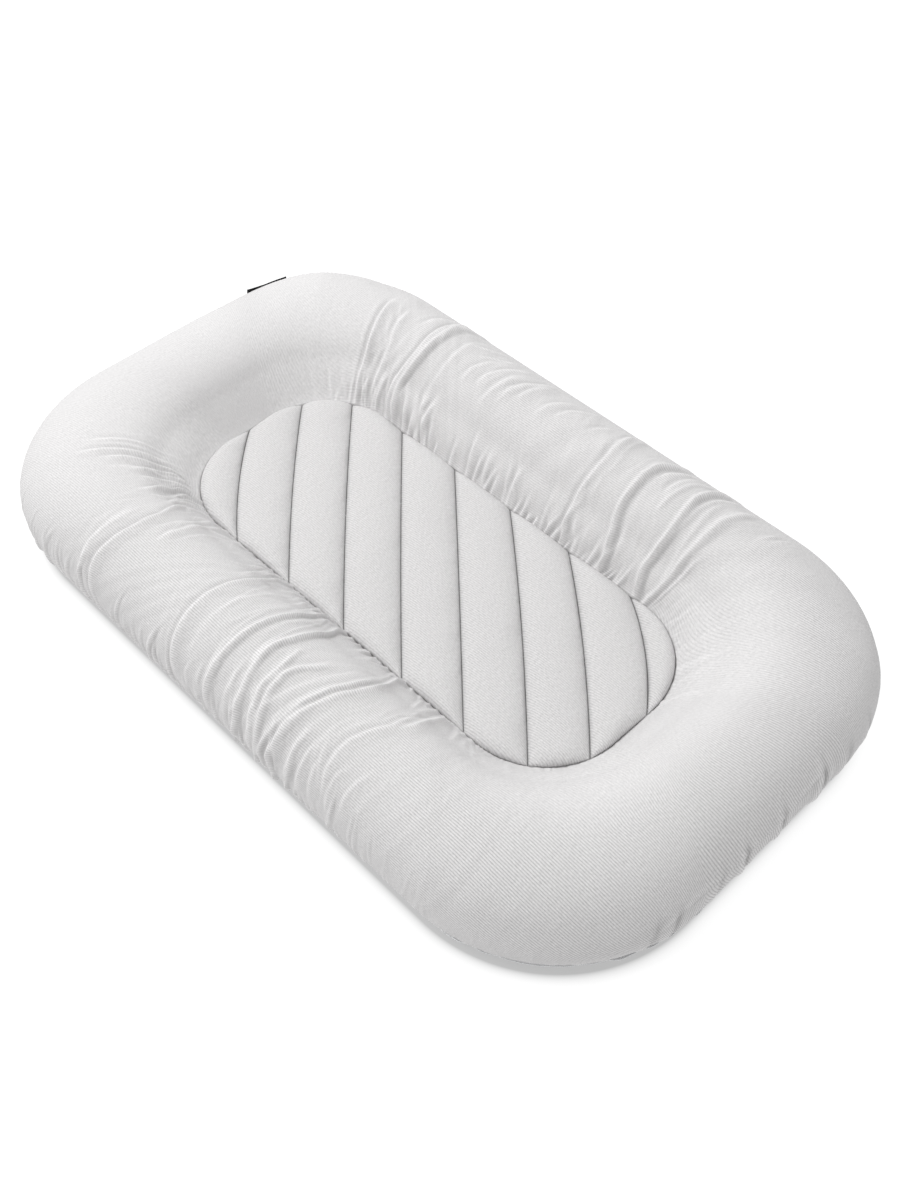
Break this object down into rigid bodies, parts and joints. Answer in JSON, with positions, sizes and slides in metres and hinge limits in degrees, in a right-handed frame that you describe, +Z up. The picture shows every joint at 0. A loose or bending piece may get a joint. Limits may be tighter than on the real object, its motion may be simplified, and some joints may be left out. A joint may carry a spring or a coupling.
{
  "type": "infant lounger",
  "caption": "Low oblong infant nest: a padded ring bolster round a diagonally channel-quilted pad, with a zipped washable cover.",
  "frame": {"origin": "middle of the underside, on the surface that the lounger rests on", "axes": "+X across the lounger, +Y along it towards the head end, +Z up"},
  "size_m": [0.49, 0.8, 0.099],
  "materials": {
    "bolster_cloth": "pale cool white ribbed cotton",
    "quilt_cloth": "pale cool white ribbed cotton, channel-quilted",
    "base_cloth": "pale plain-woven cotton",
    "casing": "thin white non-woven",
    "filling": "white polyester fibre",
    "foam": "pale open-cell foam",
    "label": "black woven satin",
    "zip_tape": "white herringbone tape",
    "zip_plastic": "white moulded plastic"
  },
  "bodies": {
    "lounger": {"base_panel": "base_cloth", "bolster_cover": "bolster_cloth", "inner_case_top": "casing", "inner_case_base": "casing", "bolster_filling": "filling", "mattress_foam": "foam", "quilt_backing": "casing", "quilt_wadding": "filling", "quilted_top": "quilt_cloth", "side_label": "label", "zip_tape_upper": "zip_tape", "zip_tape_lower": "zip_tape", "zip_teeth_upper": "zip_plastic", "zip_teeth_lower": "zip_plastic", "zip_top_stop_upper": "zip_plastic", "zip_top_stop_lower": "zip_plastic", "zip_bottom_stop": "zip_plastic"},
    "slider": {"zip_slider": "zip_plastic"},
    "pull": {"zip_pull": "zip_plastic"}
  },
  "joints": [
    {"name": "zip_slide", "type": "slide", "parent": "lounger", "child": "slider", "axis": [-1, 0, 0], "range_m": [0, 0.148], "deforming": ["zip_teeth_upper", "zip_teeth_lower"]},
    {"name": "pull_swing", "type": "hinge", "parent": "slider", "child": "pull", "pos_m": [0.0718, -0.38771, 0.01513], "axis": [0, -0.5556, 0.8315], "range_deg": [0, 170]}
  ]
}
